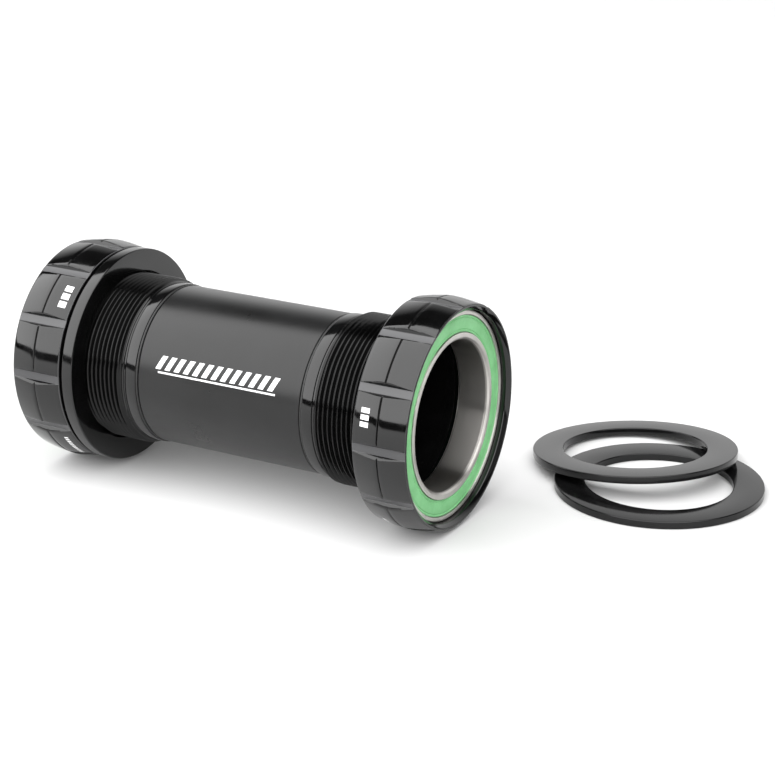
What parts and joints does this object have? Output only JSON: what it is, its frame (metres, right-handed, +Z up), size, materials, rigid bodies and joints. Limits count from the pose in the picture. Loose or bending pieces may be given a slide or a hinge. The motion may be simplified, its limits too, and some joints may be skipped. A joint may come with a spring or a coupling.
{
  "type": "threaded bottom bracket",
  "caption": "Bottom bracket with outboard ball bearings in two threaded, notched cups on a centre sleeve, a shell spacer and loose flat spacers.",
  "frame": {"origin": "centre of the assembly's box in X and Y, on the plane that the cups and the loose rings lie on (z = 0)", "axes": "+X along the spindle axis from the drive side (left-hand thread) to the non-drive side, +Z up from that plane"},
  "size_m": [0.1396, 0.0936, 0.0463],
  "materials": {
    "black_anodised": "black anodised, semi-gloss",
    "satin_sleeve": "black anodised, satin",
    "race_steel": "ground bearing steel",
    "ball_steel": "polished bearing steel",
    "cage": "moulded nylon",
    "green_seal": "moulded green seal",
    "black_rubber": "black O-ring rubber",
    "spacer_plastic": "black moulded plastic, satin"
  },
  "bodies": {
    "sleeve": {"centre_sleeve": "satin_sleeve"},
    "drive_seal_ring": {"drive_o_ring": "black_rubber"},
    "drive_cup_body": {"drive_cup": "black_anodised", "drive_outer_race": "race_steel", "drive_outer_seal": "green_seal", "drive_inner_seal": "green_seal"},
    "drive_bearing_core": {"drive_inner_race": "race_steel"},
    "drive_ball_train": {"drive_cage": "cage", "drive_ball_01": "ball_steel", "drive_ball_02": "ball_steel", "drive_ball_03": "ball_steel", "drive_ball_04": "ball_steel", "drive_ball_05": "ball_steel", "drive_ball_06": "ball_steel", "drive_ball_07": "ball_steel", "drive_ball_08": "ball_steel", "drive_ball_09": "ball_steel", "drive_ball_10": "ball_steel", "drive_ball_11": "ball_steel", "drive_ball_12": "ball_steel", "drive_ball_13": "ball_steel", "drive_ball_14": "ball_steel", "drive_ball_15": "ball_steel", "drive_ball_16": "ball_steel", "drive_ball_17": "ball_steel", "drive_ball_18": "ball_steel"},
    "non_drive_seal_ring": {"non_drive_o_ring": "black_rubber"},
    "non_drive_cup_body": {"non_drive_cup": "black_anodised", "non_drive_outer_race": "race_steel", "non_drive_outer_seal": "green_seal", "non_drive_inner_seal": "green_seal"},
    "non_drive_bearing_core": {"non_drive_inner_race": "race_steel"},
    "non_drive_ball_train": {"non_drive_cage": "cage", "non_drive_ball_01": "ball_steel", "non_drive_ball_02": "ball_steel", "non_drive_ball_03": "ball_steel", "non_drive_ball_04": "ball_steel", "non_drive_ball_05": "ball_steel", "non_drive_ball_06": "ball_steel", "non_drive_ball_07": "ball_steel", "non_drive_ball_08": "ball_steel", "non_drive_ball_09": "ball_steel", "non_drive_ball_10": "ball_steel", "non_drive_ball_11": "ball_steel", "non_drive_ball_12": "ball_steel", "non_drive_ball_13": "ball_steel", "non_drive_ball_14": "ball_steel", "non_drive_ball_15": "ball_steel", "non_drive_ball_16": "ball_steel", "non_drive_ball_17": "ball_steel", "non_drive_ball_18": "ball_steel"},
    "shell_spacer_body": {"shell_spacer": "black_anodised"},
    "lower_spacer_body": {"lower_loose_spacer": "spacer_plastic"},
    "upper_spacer_body": {"upper_loose_spacer": "spacer_plastic"}
  },
  "joints": [
    {"name": "drive_cup_pull", "type": "slide", "parent": "sleeve", "child": "drive_seal_ring", "axis": [-1, 0, 0], "range_m": [0, 0.02]},
    {"name": "drive_cup_turn", "type": "hinge", "parent": "drive_seal_ring", "child": "drive_cup_body", "pos_m": [-0.05815, -0.02364, 0.02316], "axis": [1, 0, 0], "continuous": true},
    {"name": "drive_bearing_spin", "type": "hinge", "parent": "drive_cup_body", "child": "drive_bearing_core", "pos_m": [-0.06455, -0.02364, 0.02316], "axis": [1, 0, 0], "continuous": true},
    {"name": "drive_ball_orbit", "type": "hinge", "parent": "drive_cup_body", "child": "drive_ball_train", "pos_m": [-0.06455, -0.02364, 0.02316], "axis": [1, 0, 0], "continuous": true},
    {"name": "non_drive_cup_pull", "type": "slide", "parent": "sleeve", "child": "non_drive_seal_ring", "axis": [1, 0, 0], "range_m": [0, 0.02]},
    {"name": "non_drive_cup_turn", "type": "hinge", "parent": "non_drive_seal_ring", "child": "non_drive_cup_body", "pos_m": [0.01035, -0.02364, 0.02316], "axis": [1, 0, 0], "continuous": true},
    {"name": "non_drive_bearing_spin", "type": "hinge", "parent": "non_drive_cup_body", "child": "non_drive_bearing_core", "pos_m": [0.01675, -0.02364, 0.02316], "axis": [1, 0, 0], "continuous": true},
    {"name": "non_drive_ball_orbit", "type": "hinge", "parent": "non_drive_cup_body", "child": "non_drive_ball_train", "pos_m": [0.01675, -0.02364, 0.02316], "axis": [1, 0, 0], "continuous": true},
    {"name": "shell_spacer_slide", "type": "slide", "parent": "drive_seal_ring", "child": "shell_spacer_body", "axis": [1, 0, 0], "range_m": [0, 0.0645]},
    {"name": "lower_spacer_lift", "type": "slide", "parent": "sleeve", "child": "lower_spacer_body", "axis": [0, 0, 1], "range_m": [0, 0.04]},
    {"name": "upper_spacer_lift", "type": "slide", "parent": "lower_spacer_body", "child": "upper_spacer_body", "axis": [0, 0, 1], "range_m": [0, 0.04]}
  ],
  "couplings": [
    {"joint": "drive_ball_orbit", "follows": "drive_bearing_spin", "ratio": 0.4514},
    {"joint": "non_drive_ball_orbit", "follows": "non_drive_bearing_spin", "ratio": 0.4514}
  ]
}
